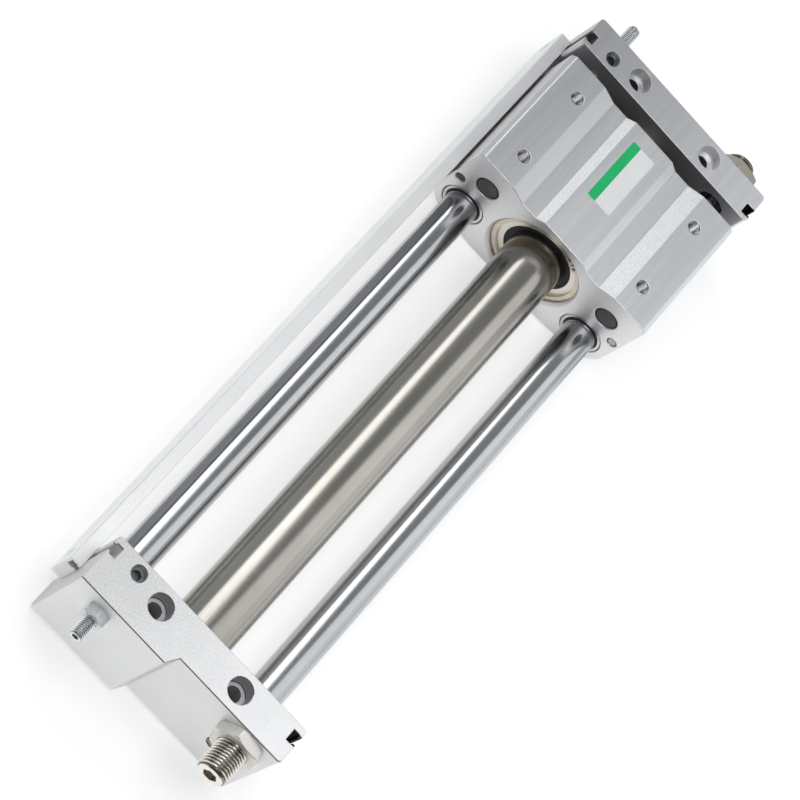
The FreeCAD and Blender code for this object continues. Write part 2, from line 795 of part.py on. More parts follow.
def stack(name, yoke_outer, magnet_outer, inner):
    """A row of ring magnets with a yoke plate on each side of every magnet."""
    yokes, magnets = [], []
    pitch = size.yoke_thick + magnet_thick
    start = table_near + stack_inset
    for i in range(Count.MAGNETS + 1):
        x = start + pitch * i
        at = (ZERO, size.tube_height)
        yokes.append(ring(f"{name}_yoke_{i}", x, *at, yoke_outer, inner, size.yoke_thick))
        if i < Count.MAGNETS:
            x = x + size.yoke_thick
            magnets.append(ring(f"{name}_magnet_{i}", x, *at, magnet_outer, inner, magnet_thick))
    node(group(f"{name}_yokes", yokes))
    node(group(f"{name}_magnets", magnets))


def piston_head(name, side):
    """A turned piston head with a wear ring groove and a seal groove."""
    body = doc.addObject("PartDesign::Body", name)
    place(body, table_mid + stack_length / 2 * side, ZERO, size.tube_height)
    sketch = sketch_on(body, f"{name}_section", "XY_Plane")
    outer = size.head / 2
    bore = size.shaft / 2 + size.seat_gap
    corners = [(ZERO, bore), (ZERO, outer)]
    for first, length, floor in (
        (size.wear_groove_from_stack, size.wear_groove_length, size.wear_groove_floor / 2),
        (size.seal_groove_from_stack, size.seal_groove_length, size.seal_groove_floor / 2),
    ):
        last = first + length
        corners += [(first, outer), (first, floor), (last, floor), (last, outer)]
    corners += [(size.head_length, outer), (size.head_length, bore)]
    outline(sketch, [(x * side, y) for x, y in corners])
    item = body.newObject("PartDesign::Revolution", f"{name}_turned")
    item.Profile = sketch
    item.ReferenceAxis = (sketch, ["H_Axis"])
    item.Angle = FULL_TURN
    body.Tip = item
    doc.recompute()
    return node(body)


def piston():
    """The free piston in the tube, which the outer magnets pull along."""
    at = (ZERO, size.tube_height)
    head_end = stack_length / 2 + size.head_length
    shaft_end = head_end + size.piston_nut_thick
    node(bar("piston_shaft", table_mid - shaft_end, *at, size.shaft, shaft_end * 2))
    inner = size.shaft + size.seat_gap * 2
    stack("inner", size.inner_yoke, size.inner_magnet, inner)
    piston_head("near_piston_head", NEAR)
    piston_head("far_piston_head", FAR)
    in_tube = size.tube_bore - size.slide_gap * 2
    wears, seals, nuts, bumpers = [], [], [], []
    for name, side in (("near", NEAR), ("far", FAR)):
        for kind, first, length, floor, made in (
            ("wear_ring", size.wear_groove_from_stack, size.wear_groove_length,
             size.wear_groove_floor, wears),
            ("seal", size.seal_groove_from_stack, size.seal_groove_length,
             size.seal_groove_floor, seals),
        ):
            begin = stack_length / 2 + first
            x = table_mid + begin if side == FAR else table_mid - begin - length
            floor = floor + size.seat_gap * 2
            made.append(ring(f"{name}_piston_{kind}", x, *at, in_tube, floor, length))
        face = table_mid + head_end * side
        nuts.append(hex_nut(f"{name}_piston_nut", face, side, *at,
                            size.piston_nut, size.piston_nut_thick, size.shaft))
        x = face if side == FAR else face - size.bumper_length
        bumpers.append(ring(f"{name}_bumper", x, *at,
                            size.bumper_outer, size.bumper_inner, size.bumper_length))
    node(group("piston_wear_rings", wears))
    node(group("piston_seals", seals))
    node(group("piston_nuts", nuts))
    node(group("piston_bumpers", bumpers))


def table_inserts():
    """Stop pads in the table's ends, switch magnets on the rail side and plugs on the other."""
    pads, magnets, plugs = [], [], []
    for name, side, end in (("near", NEAR, table_near), ("far", FAR, table_far)):
        for hand, y in (("left", rod_y), ("right", -rod_y)):
            face = end - size.stop_pad_recess * side
            x = face if side == NEAR else face - size.stop_pad_thick
            pads.append(bar(f"{name}_{hand}_pad", x, y, size.stop_pad_z,
                            size.stop_pad, size.stop_pad_thick))
        face = end - size.side_hole_recess * side
        for kind, y, length, made in (
            ("switch_magnet", side_hole_y, size.switch_magnet_length, magnets),
            ("side_plug", -side_hole_y, size.side_plug_length, plugs),
        ):
            x = face if side == NEAR else face - length
            made.append(bar(f"{name}_{kind}", x, y, size.side_hole_z, size.side_hole, length))
    node(group("stop_pads", pads))
    node(group("switch_magnets", magnets))
    node(group("side_plugs", plugs))


def switch_rail():
    """The extruded rail with a switch channel that faces the table, and its screws and T-slot nuts."""
    body = doc.addObject("PartDesign::Body", "switch_rail")
    near_end = inner_face + size.rail_on_near
    place(body, -near_end, ZERO, ZERO)
    sketch = sketch_on(body, "rail_section", "YZ_Plane")
    top = size.rail_bottom + size.rail_height
    outer = plate_side + size.rail_depth
    lip = plate_side + size.rail_lip
    floor = lip + size.rail_channel_depth
    channel_z = top - size.rail_channel_from_top
    channel = [
        (plate_side, size.rail_mouth / 2), (lip, size.rail_mouth / 2),
        (lip, size.rail_channel / 2), (floor, size.rail_channel / 2),
    ]
    upper = [(y, channel_z + z) for y, z in channel]
    lower = [(y, channel_z - z) for y, z in reversed(channel)]
    outline(sketch, [
        (plate_side, size.rail_bottom), (outer, size.rail_bottom), (outer, top - size.rail_edge),
        (outer - size.rail_edge, top), (plate_side, top), *upper, *lower,
    ])
    pad(body, sketch, near_end + inner_face + size.rail_on_far)
    screw_z = middle(size.rail_bottom, top)
    slots = (
        ("near", -inner_face - size.near_slot_from_inner),
        ("far", inner_face + size.far_slot_from_inner),
    )
    for part, diameter, depth in (
        ("rail_screw_holes", size.rail_screw + size.loose_gap * 2, size.rail_depth),
        ("rail_head_holes", size.rail_screw_head + size.loose_gap * 2, size.rail_head_sink),
    ):
        holes = [(near_end + x, screw_z, diameter) for _, x in slots]
        bores(body, part, "XZ_Plane", -outer, holes, depth, True)
    node(body)
    screws, nuts = [], []
    nut_y = plate_side - size.slot_lip - size.slot_depth + size.loose_gap
    nut_depth = size.slot_depth - size.loose_gap
    seat = outer - size.rail_head_sink
    width = size.slot_width - size.loose_gap * 2
    for name, x in slots:
        shank = bar(f"{name}_rail_shank", x, nut_y, screw_z, size.rail_screw, seat - nut_y, ALONG_Y)
        head = bar(f"{name}_rail_head", x, seat, screw_z, size.rail_screw_head,
                   size.rail_screw_head_thick, ALONG_Y)
        screws.append(fuse(f"{name}_rail_screw", shank, head))
        nut = block(f"{name}_rail_nut_blank", x - width / 2, nut_y, screw_z - size.rail_nut_height / 2,
                    width, nut_depth, size.rail_nut_height)
        hole = bar(f"{name}_rail_nut_hole", x, nut_y, screw_z,
                   size.rail_screw + size.seat_gap * 2, nut_depth, ALONG_Y)
        nuts.append(cut(f"{name}_rail_nut", nut, hole))
    node(group("rail_screws", screws))
    node(group("rail_nuts", nuts))


def check_all():
    for item in doc.Objects:
        if "Invalid" in item.State or "Error" in item.State:
            raise ValueError(f"{item.Label} failed: {item.State}")
    for item in NODES:
        if item.Shape.isNull() or not item.Shape.isValid() or not item.Shape.Solids:
            raise ValueError(f"{item.Label} has no valid shape")


def write_all():
    os.makedirs("parts", exist_ok=True)
    for item in NODES:
        item.Shape.exportStep(f"parts/{item.Label}.step")
        print(item.Label, len(item.Shape.Solids), round(item.Shape.Volume, 1))


end_plates()
tube_and_rods()
clamp_and_lock_screws()
stroke_stops()
slide_table()
bushes_and_scrapers()
mover()
piston()
table_inserts()
switch_rail()
doc.recompute()
check_all()
write_all()
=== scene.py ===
import json
import math

import bmesh
import bpy
from mathutils import Matrix, Vector


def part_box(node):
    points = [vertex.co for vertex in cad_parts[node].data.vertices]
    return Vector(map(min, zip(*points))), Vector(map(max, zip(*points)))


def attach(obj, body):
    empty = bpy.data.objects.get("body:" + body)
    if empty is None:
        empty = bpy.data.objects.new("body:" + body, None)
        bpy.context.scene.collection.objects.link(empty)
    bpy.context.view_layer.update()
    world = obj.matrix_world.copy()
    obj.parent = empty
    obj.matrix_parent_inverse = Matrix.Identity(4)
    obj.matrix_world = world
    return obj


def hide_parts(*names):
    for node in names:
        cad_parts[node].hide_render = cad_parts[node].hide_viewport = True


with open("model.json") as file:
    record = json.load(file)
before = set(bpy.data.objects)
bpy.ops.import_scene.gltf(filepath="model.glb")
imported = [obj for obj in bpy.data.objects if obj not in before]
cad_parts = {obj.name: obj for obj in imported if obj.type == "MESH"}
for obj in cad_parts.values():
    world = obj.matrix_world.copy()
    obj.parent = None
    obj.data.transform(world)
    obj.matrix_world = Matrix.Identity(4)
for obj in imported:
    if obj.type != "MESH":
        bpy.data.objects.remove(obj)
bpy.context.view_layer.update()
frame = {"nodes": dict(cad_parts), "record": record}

# Rodless pneumatic cylinder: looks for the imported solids, in metres in their own frame.

nodes = frame["nodes"]
MM = 0.001

# Places in the solids that the materials follow, in metres
WIDTH = 0.1
STROKE_HEIGHT = 26.5 * MM  # the tube's axis above the bed
STOP_SIDE, STOP_HEIGHT = 37.5 * MM, 41.5 * MM  # axes of the bolts and shock absorbers
BASE_HOLE_X, BASE_HOLE_Y = 171 * MM, 22.5 * MM
COUNTERBORE = (5.7 * MM, 52.4 * MM)  # radius and top of the region inside it
BASE_HOLE = (3.4 * MM, 45.4 * MM)
NEAR_SLOT_X, FAR_SLOT_X = -168.4 * MM, 167.2 * MM
SLOT_HALF, SLOT_FLOOR = 2.75 * MM, 48.4 * MM
RAIL_SIDE, OTHER_SIDE = 1.0, -1.0
# Faces that get painted shade: the far plate's inner face and the table's far end face in the gap between
# them, and the far shock body's inner end
FAR_PLATE_INNER_FACE = (161 * MM, 162.6 * MM)
TABLE_FAR_FACE = (153 * MM, 155 * MM)
FAR_SHOCK_INNER_END = (162 * MM, 166.5 * MM)
# Painted shade: near black on the walls of the plates' T-slots
PAINTED_SLOT_SHADE = (0.02, 0.02, 0.02)

# Threads
RINGS_PER_PITCH = 8
BAR_THREAD_DEPTH = 0.613  # of the pitch
ROOT_FLAT, FLANK = 0.25, 0.625  # shares of half a pitch
LEAD_IN = 1.2  # slope of the chamfer at a thread's ends
MOUTH_INSET = 0.3 * MM  # of a hole's thread


class Graph:
    """A material's node tree with short calls for the nodes that these materials use."""

    def __init__(self, name):
        self.material = bpy.data.materials.new(name)
        self.material.use_nodes = True
        self.tree = self.material.node_tree
        self.shader = self.tree.nodes["Principled BSDF"]
        self.place = self.add("ShaderNodeTexCoord").outputs["Object"]

    def add(self, kind, **settings):
        item = self.tree.nodes.new(kind)
        for key, value in settings.items():
            setattr(item, key, value)
        return item

    def link(self, source, target):
        self.tree.links.new(source, target)

    def stretched(self, scale):
        """Object coordinates multiplied per axis, so that a texture is drawn out along one."""
        item = self.add("ShaderNodeMapping")
        item.inputs["Scale"].default_value = scale
        self.link(self.place, item.inputs["Vector"])
        return item.outputs["Vector"]

    def noise(self, scale, detail=3.0, stretch=None, rough=0.5):
        item = self.add("ShaderNodeTexNoise")
        item.inputs["Scale"].default_value = scale
        item.inputs["Detail"].default_value = detail
        item.inputs["Roughness"].default_value = rough
        self.link(self.stretched(stretch) if stretch else self.place, item.inputs["Vector"])
        return item.outputs["Fac"]

    def cells(self, scale):
        item = self.add("ShaderNodeTexVoronoi")
        item.inputs["Scale"].default_value = scale
        self.link(self.place, item.inputs["Vector"])
        return item.outputs["Color"]

    def ramp(self, source, *stops):
        """Stops are (position, grey value or colour)."""
        item = self.add("ShaderNodeValToRGB")
        marks = item.color_ramp.elements
        while len(marks) < len(stops):
            marks.new(0.5)
        for mark, (at, value) in zip(marks, stops):
            mark.position = at
            mark.color = (*value, 1) if isinstance(value, tuple) else (value, value, value, 1)
        self.link(source, item.inputs["Fac"])
        return item.outputs["Color"]

    def math(self, operation, first, second):
        item = self.add("ShaderNodeMath", operation=operation)
        for socket, value in zip(item.inputs, (first, second)):
            if isinstance(value, (int, float)):
                socket.default_value = value
            else:
                self.link(value, socket)
        return item.outputs["Value"]

    def mix(self, factor, first, second, blend="MIX"):
        item = self.add("ShaderNodeMix", data_type="RGBA", blend_type=blend)
        for socket, value in ((item.inputs[0], factor), (item.inputs[6], first), (item.inputs[7], second)):
            if isinstance(value, float):
                socket.default_value = value
            elif isinstance(value, tuple):
                socket.default_value = (*value, 1)
            else:
                self.link(value, socket)
        return item.outputs[2]

    def bump(self, height, distance, strength=1.0, normal=None):
        item = self.add("ShaderNodeBump")
        item.inputs["Distance"].default_value = distance
        item.inputs["Strength"].default_value = strength
        self.link(height, item.inputs["Height"])
        if normal is not None:
            self.link(normal, item.inputs["Normal"])
        return item.outputs["Normal"]

    def parts(self, vector=None):
        """X, Y and Z of a vector, or of the object coordinates."""
        split = self.add("ShaderNodeSeparateXYZ")
        self.link(vector or self.place, split.inputs["Vector"])
        return split.outputs

    def facing(self):
        """X, Y and Z of the direction that a face looks in."""
        return self.parts(self.add("ShaderNodeNewGeometry").outputs["True Normal"])

    def across(self):
        """1 on faces that look along the stroke, 0 on the others."""
        return self.ramp(self.math("ABSOLUTE", self.facing()[0], 0.0), (0.9, 0.0), (0.97, 1.0))

    def towards_rail(self):
        """From 0 to 1 across 100 mm of width, up to the rail's side. The node adds its own 0.5."""
        _, y, _ = self.parts()
        return self.math("MULTIPLY_ADD", y, 1 / WIDTH)

    def shaded_towards_rail(self, tone, start, share):
        """The tone, but on faces along the stroke only a share of it at the rail's side: painted shade."""
        fade = self.ramp(self.towards_rail(), (start, 1.0), (1.0, share))
        return self.mix(self.across(), self.mix(1.0, tone, fade, "MULTIPLY"), tone)

    def painted_dark_edge(self):
        """1 on the rounding between the near plate's top and its outer face, which is painted dark."""
        x, _, z = self.facing()
        return self.math("MULTIPLY", self.between(x, -0.95, -0.2), self.math("GREATER_THAN", z, 0.2))

    def distance(self, first, second, first_middle, second_middle):
        """Distance from an axis in two of the coordinates."""
        across = self.math("POWER", self.math("SUBTRACT", first, first_middle), 2.0)
        along = self.math("POWER", self.math("SUBTRACT", second, second_middle), 2.0)
        return self.math("SQRT", self.math("ADD", across, along), 0.0)

    def bore_shade(self, middle_x, middle_y, radius, top):
        """1 inside the two upright holes at one distance each side of the stroke axis."""
        x, y, z = self.parts()
        away = self.distance(x, self.math("ABSOLUTE", y, 0.0), middle_x, middle_y)
        below = self.math("LESS_THAN", z, top)
        return self.math("MULTIPLY", self.math("LESS_THAN", away, radius), below)

    def between(self, value, low, high):
        """1 where a value lies between two limits."""
        above = self.math("GREATER_THAN", value, low)
        return self.math("MULTIPLY", above, self.math("LESS_THAN", value, high))

    def slot_shade(self, middle, side):
        """1 on the walls of a plate's T-slot, on the rail's side or the other one."""
        x, y, _ = self.parts()
        in_x = self.between(x, middle - SLOT_HALF, middle + SLOT_HALF)
        in_y = self.math("GREATER_THAN", self.math("MULTIPLY", y, side), SLOT_FLOOR)
        return self.math("MULTIPLY", in_x, in_y)

    def gap_face_shade(self, low, high):
        """1 on the faces across the stroke between two places along it, for painted shade."""
        return self.math("MULTIPLY", self.across(), self.between(self.parts()[0], low, high))

    def finish(self, color=None, rough=None, normal=None, **constants):
        for name, value in constants.items():
            self.shader.inputs[name.replace("_", " ")].default_value = value
        for name, source in (("Base Color", color), ("Roughness", rough), ("Normal", normal)):
            if source is not None:
                self.link(source, self.shader.inputs[name])
        return self.material


def blasted_aluminium(name, dark, light, grain, speckle, depth, rough_low, rough_high, flank=None):
    """Sand-blasted and anodised: fine sparkling pits, stronger towards the rail, over slow changes of
    tone. With a plain tone of the faces across the stroke, set light as painted light, it is the near plate,
    with painted shade towards the rail, in its holes and slot, and a painted dark reflection on its outer top
    edge."""
    g = Graph(name)
    slow = g.noise(38.0, 4.0)
    fine = g.noise(grain, 2.0, rough=0.6)
    spark = g.ramp(g.cells(grain * 1.6), (0.0, 0.0), (1.0, 1.0))
    tone = g.ramp(slow, (0.3, dark), (0.7, light))
    sparkling = g.ramp(g.towards_rail(), (0.1, speckle * 0.2), (0.8, speckle * 0.5))
    pitted = g.ramp(g.towards_rail(), (0.1, speckle * 0.4), (0.8, speckle))
    tone = g.mix(sparkling, tone, spark, "OVERLAY")
    tone = g.mix(pitted, tone, g.ramp(fine, (0.3, 0.62), (0.7, 1.0)), "MULTIPLY")
    if flank:
        # Painted shade: faces along the stroke darker towards the rail's side
        tone = g.shaded_towards_rail(tone, 0.30, 0.80)
        # Painted light: the faces across the stroke get a plain, light tone of their own
        tone = g.mix(g.across(), tone, g.ramp(slow, (0.3, flank * 0.96), (0.7, flank)))
        tone = g.mix(g.bore_shade(-BASE_HOLE_X, BASE_HOLE_Y, *COUNTERBORE), tone, (0.55, 0.55, 0.56))
        tone = g.mix(g.bore_shade(-BASE_HOLE_X, BASE_HOLE_Y, *BASE_HOLE), tone, (0.45, 0.45, 0.46))
        tone = g.mix(g.slot_shade(NEAR_SLOT_X, OTHER_SIDE), tone, PAINTED_SLOT_SHADE)
        # Painted reflection: the rounding of the outer top edge painted dark, for the dark room behind the
        # near end
        tone = g.mix(g.painted_dark_edge(), tone, (0.16, 0.16, 0.16))
    rough = g.ramp(fine, (0.25, rough_low), (0.75, rough_high))
    return g.finish(tone, rough, g.bump(fine, depth, 0.5), Metallic=0.9)


def extruded_aluminium(name, dark, light, rough_low, rough_high, fade, plate=False):
    """Drawn out along the stroke: die lines, small pits and an anodised tone with painted shade that is
    deeper towards the rail. It is the far plate, with painted shade in its slots and holes and on its inner
    face, or the table, with blasted slopes and painted shade on its far end face."""
    g = Graph(name)
    lines = g.noise(900.0, 3.0, stretch=(0.012, 1.0, 1.0), rough=0.65)
    slow = g.noise(22.0, 3.0, stretch=(0.4, 1.0, 1.0))
    pits = g.noise(2600.0, 2.0)
    tone = g.ramp(slow, (0.3, dark), (0.7, light))
    tone = g.mix(0.22, tone, g.ramp(lines, (0.3, 0.7), (0.7, 1.0)), "MULTIPLY")
    tone = g.mix(0.18, tone, g.ramp(pits, (0.3, 0.7), (0.6, 1.0)), "MULTIPLY")
    # Painted shade: faces along the stroke darker towards the rail's side
    tone = g.shaded_towards_rail(tone, *fade)
    if plate:
        tone = g.mix(g.slot_shade(FAR_SLOT_X, OTHER_SIDE), tone, PAINTED_SLOT_SHADE)
        tone = g.mix(g.slot_shade(FAR_SLOT_X, RAIL_SIDE), tone, (0.25, 0.25, 0.25))
        tone = g.mix(g.bore_shade(BASE_HOLE_X, BASE_HOLE_Y, *BASE_HOLE), tone, (0.16, 0.16, 0.17))
        # Painted shade on the far plate's inner face, in the gap next to the table
        tone = g.mix(g.gap_face_shade(*FAR_PLATE_INNER_FACE), tone, (0.54, 0.54, 0.55))
    else:
        _, slant, up = g.facing()
        slope = g.between(slant, 0.15, 0.6)
        slope = g.math("MULTIPLY", slope, g.math("GREATER_THAN", up, 0.3))
        tone = g.mix(slope, tone, g.ramp(g.noise(1500.0, 2.0), (0.35, 0.84), (0.65, 1.0)))
        # Painted shade on the table's far end face, in the gap next to the far plate
        tone = g.mix(g.gap_face_shade(*TABLE_FAR_FACE), tone, (0.62, 0.62, 0.63))
    rough = g.ramp(lines, (0.25, rough_low), (0.75, rough_high))
    bump = g.bump(lines, 0.00003, 0.5)
    return g.finish(tone, rough, g.bump(pits, 0.00002, 0.4, bump), Metallic=0.95)


def ground_steel(name, low, high, rough_low, rough_high, lines_scale, stretch):
    """Ground or drawn bar: bright, with hair lines and a trace of colour change."""
    g = Graph(name)
    lines = g.noise(lines_scale, 3.0, stretch=stretch, rough=0.6)
    slow = g.noise(30.0, 3.0)
    tone = g.ramp(slow, (0.3, low), (0.7, high))
    rough = g.ramp(lines, (0.3, rough_low), (0.7, rough_high))
    return g.finish(tone, rough, g.bump(lines, 0.000004, 0.4), Metallic=1.0)


def plated_steel(name, low, high, rough_low, rough_high, thread=None, far_painted_shade=None, metallic=1.0):
    """Zinc or nickel plate on small turned parts, a little cloudy and worn, with painted shade at the root of
    a thread on the stop axes where its root and crest radius and the tone left at the root are given,
    and a share of the tone left on the far end's parts as painted shade, as they look darker in the
    photograph."""
    g = Graph(name)
    cloud = g.noise(260.0, 4.0)
    fine = g.noise(2400.0, 2.0)
    tone = g.ramp(cloud, (0.3, low), (0.7, high))
    tone = g.mix(0.2, tone, g.ramp(fine, (0.3, 0.65), (0.6, 1.0)), "MULTIPLY")
    if thread:
        root, crest, root_shade_tone = thread
        _, y, z = g.parts()
        away = g.distance(g.math("ABSOLUTE", y, 0.0), z, STOP_SIDE, STOP_HEIGHT)
        share = g.math("DIVIDE", away, 2 * crest * MM)
        low_end, high_end = root / crest / 2, 0.49
        # Painted shade: the thread is darker towards its root
        root_shade = g.ramp(share, (low_end - 0.03, 1.0), (low_end, root_shade_tone), (high_end, 1.0))
        tone = g.mix(1.0, tone, root_shade, "MULTIPLY")
    # Painted shade: the far end's parts darker, and the far shock body's inner end near black
    if far_painted_shade:
        x, _, _ = g.parts()
        tone = g.mix(g.math("GREATER_THAN", x, 0.0), tone, g.mix(1.0, tone, far_painted_shade, "MULTIPLY"))
        tone = g.mix(g.between(x, *FAR_SHOCK_INNER_END), tone, (0.10, 0.10, 0.10))
    rough = g.ramp(cloud, (0.3, rough_low), (0.7, rough_high))
    return g.finish(tone, rough, g.bump(fine, 0.00002, 0.35), Metallic=metallic)


def turned_metal(name, low, high, rough_low, rough_high):
    """Ring-shaped tool marks round the stroke axis of a turned part."""
    g = Graph(name)
    _, y, z = g.parts()
    radius = g.distance(y, z, 0.0, STROKE_HEIGHT)
    rings = g.math("SINE", g.math("MULTIPLY", radius, 2 * math.pi / (0.45 * MM)), 0.0)
    rings = g.math("MULTIPLY_ADD", rings, 0.5)
    cloud = g.noise(180.0, 3.0)
    tone = g.ramp(cloud, (0.3, low), (0.7, high))
    rough = g.ramp(cloud, (0.3, rough_low), (0.7, rough_high))
    return g.finish(tone, rough, g.bump(rings, 0.00002, 0.4), Metallic=1.0)


def moulded(name, low, high, rough_low, rough_high, grain, metallic=0.0, rim=None):
    """Rubber, resin or pressed magnet: dull, with a fine moulded grain, and a dark rim round each
    axis along the stroke where its distance to the sides, height and radius are given."""
    g = Graph(name)
    cloud = g.noise(140.0, 3.0)
    fine = g.noise(grain, 3.0, rough=0.6)
    tone = g.ramp(cloud, (0.3, low), (0.7, high))
    tone = g.mix(0.3, tone, g.ramp(fine, (0.3, 0.6), (0.7, 1.0)), "MULTIPLY")
    if rim:
        _, y, z = g.parts()
        side, height, radius = (value * MM for value in rim)
        away = g.distance(g.math("ABSOLUTE", y, 0.0), z, side, height)
        tone = g.mix(g.math("GREATER_THAN", away, radius), tone, (0.012, 0.012, 0.012))
    rough = g.ramp(fine, (0.3, rough_low), (0.7, rough_high))
    return g.finish(tone, rough, g.bump(fine, 0.00003, 0.4), Metallic=metallic)


def printed_foil(name, low, high):
    """A stuck-on foil label, left blank, with a faint orange-peel gloss."""
    g = Graph(name)
    peel = g.noise(700.0, 2.0)
    fleck = g.noise(90.0, 3.0)
    tone = g.ramp(fleck, (0.3, low), (0.7, high))
    rough = g.ramp(peel, (0.3, 0.3), (0.7, 0.42))
    return g.finish(tone, rough, g.bump(peel, 0.000012, 0.5))


MATERIALS = {
    "blasted": blasted_aluminium("blasted_aluminium", 0.90, 0.97, 1300.0, 0.7, 0.00006, 0.50, 0.64,
                                 flank=0.91),
    "satin": extruded_aluminium("plate_aluminium", (0.94, 0.94, 0.95), (0.98, 0.98, 0.98), 0.44, 0.54,
                                fade=(0.0, 0.64), plate=True),
    "table": extruded_aluminium("table_aluminium", (0.90, 0.90, 0.91), (0.95, 0.95, 0.95), 0.41, 0.51,
                                fade=(0.5, 0.76)),
    "rail": blasted_aluminium("rail_aluminium", 0.93, 0.97, 1800.0, 0.16, 0.00003, 0.56, 0.66),
    "chrome": ground_steel("hard_chrome", (0.455, 0.465, 0.48), (0.50, 0.507, 0.52), 0.14, 0.20,
                           2600.0, (1.0, 0.05, 0.05)),
    "tube": ground_steel("tube_steel", (0.385, 0.365, 0.33), (0.44, 0.42, 0.385), 0.16, 0.23,
                         1500.0, (0.01, 1.0, 1.0)),
    "zinc": plated_steel("zinc_steel", (0.86, 0.89, 0.90), (0.95, 0.96, 0.96), 0.44, 0.56, metallic=0.7),
    "zinc_thread": plated_steel("zinc_thread", (0.84, 0.87, 0.88), (0.94, 0.95, 0.95), 0.26, 0.38,
                                thread=(2.39, 3.0, 0.3)),
    "nickel": plated_steel("nickel_steel", (0.90, 0.87, 0.80), (0.96, 0.93, 0.88), 0.44, 0.56,
                           far_painted_shade=(0.52, 0.49, 0.45), metallic=0.7),
    "nickel_thread": plated_steel("nickel_thread", (0.84, 0.79, 0.71), (0.92, 0.88, 0.81), 0.18, 0.30,
                                  thread=(6.08, 7.0, 0.16), far_painted_shade=(0.62, 0.58, 0.54)),
    "tapped": plated_steel("tapped_aluminium", (0.44, 0.44, 0.45), (0.55, 0.55, 0.56), 0.26, 0.36),
    "spacer": turned_metal("spacer_aluminium", (0.82, 0.77, 0.69), (0.89, 0.85, 0.78), 0.34, 0.44),
    "clip": plated_steel("spring_steel", (0.62, 0.56, 0.45), (0.74, 0.68, 0.57), 0.28, 0.40),
    "oxide": plated_steel("black_oxide", (0.12, 0.137, 0.135), (0.20, 0.222, 0.22), 0.30, 0.42),
    "rubber": moulded("black_rubber", (0.018, 0.018, 0.019), (0.035, 0.035, 0.036), 0.5, 0.7, 2600.0),
    "pad": moulded("pad_rubber", (0.105, 0.106, 0.11), (0.16, 0.16, 0.165), 0.5, 0.68, 2200.0,
                   rim=(37.5, 39.3, 4.9)),
    "plug": moulded("side_plug", (0.46, 0.46, 0.45), (0.56, 0.56, 0.55), 0.36, 0.48, 2000.0, 0.8,
                    rim=(47.9, 30.5, 1.9)),
    "bush": turned_metal("bush_steel", (0.62, 0.62, 0.63), (0.72, 0.72, 0.73), 0.26, 0.36),
    "resin": moulded("wear_resin", (0.36, 0.22, 0.11), (0.46, 0.30, 0.16), 0.42, 0.58, 1800.0),
    "magnet": moulded("magnet", (0.16, 0.16, 0.17), (0.24, 0.24, 0.25), 0.3, 0.45, 1600.0, 0.8),
    "brown": moulded("switch_magnet", (0.10, 0.058, 0.042), (0.17, 0.10, 0.07), 0.4, 0.55, 1800.0),
    "yoke": plated_steel("yoke_steel", (0.48, 0.49, 0.51), (0.58, 0.59, 0.61), 0.28, 0.4),
    "piston": plated_steel("piston_aluminium", (0.68, 0.68, 0.66), (0.78, 0.78, 0.76), 0.3, 0.42),
    "white": printed_foil("label_white", (0.90, 0.91, 0.91), (0.94, 0.94, 0.94)),
    "green": printed_foil("label_green", (0.008, 0.53, 0.155), (0.014, 0.58, 0.175)),
}

# Material and edge rounding, in millimetres, of each solid that is shown as it is
DRESS = {
    "near_end_plate": ("blasted", 0.4), "far_end_plate": ("satin", 0.4),
    "cylinder_tube": ("tube", 0.0), "guide_rod_left": ("chrome", 0.0), "guide_rod_right": ("chrome", 0.0),
    "tube_gaskets": ("rubber", 0.0), "gallery_plugs": ("zinc", 0.15), "rod_clamp_screws": ("zinc", 0.15),
    "bolt_lock_screws": ("oxide", 0.2), "bolt_lock_nuts": ("zinc", 0.2), "shock_lock_nuts": ("nickel", 0.3),
    "switch_rail": ("rail", 0.25),
    "rail_screws": ("zinc", 0.2), "rail_nuts": ("zinc", 0.2), "slide_table": ("table", 0.45),
    "guide_bushes": ("bush", 0.2), "rod_scrapers": ("rubber", 0.0), "retaining_rings": ("clip", 0.1),
    "mover_spacers": ("spacer", 0.2), "tube_scrapers": ("rubber", 0.0), "tube_wear_rings": ("resin", 0.0),
    "outer_yokes": ("yoke", 0.0), "outer_magnets": ("magnet", 0.0), "stop_pads": ("pad", 0.4),
    "switch_magnets": ("brown", 0.2), "side_plugs": ("plug", 0.3), "piston_shaft": ("yoke", 0.0),
    "inner_yokes": ("yoke", 0.0), "inner_magnets": ("magnet", 0.0), "near_piston_head": ("piston", 0.0),
    "far_piston_head": ("piston", 0.0), "piston_wear_rings": ("resin", 0.0), "piston_seals": ("rubber", 0.0),
    "piston_nuts": ("zinc", 0.0), "piston_bumpers": ("rubber", 0.0), "near_shock_plunger": ("chrome", 0.4),
    "far_shock_plunger": ("chrome", 0.4),
}


def dress(name, material, rounding):
    """The solid's material, and rounded edges where a rounding is given. The weld joins the faces of
    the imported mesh, which share no vertices, so that the bevel finds the edges between them."""
    piece = nodes[name]
    piece.data.materials.clear()
    piece.data.materials.append(MATERIALS[material])
    if rounding:
        weld = piece.modifiers.new("seams", "WELD")
        weld.merge_threshold = 0.001 * MM
        bevel = piece.modifiers.new("edges", "BEVEL")
        bevel.width = rounding * MM
        bevel.segments = 2
        bevel.limit_method = "ANGLE"
        bevel.angle_limit = math.radians(40)
        bevel.harden_normals = True
        bevel.use_clamp_overlap = False
        bevel.loop_slide = False


for node_name, (material_name, edge) in DRESS.items():
    dress(node_name, material_name, edge)


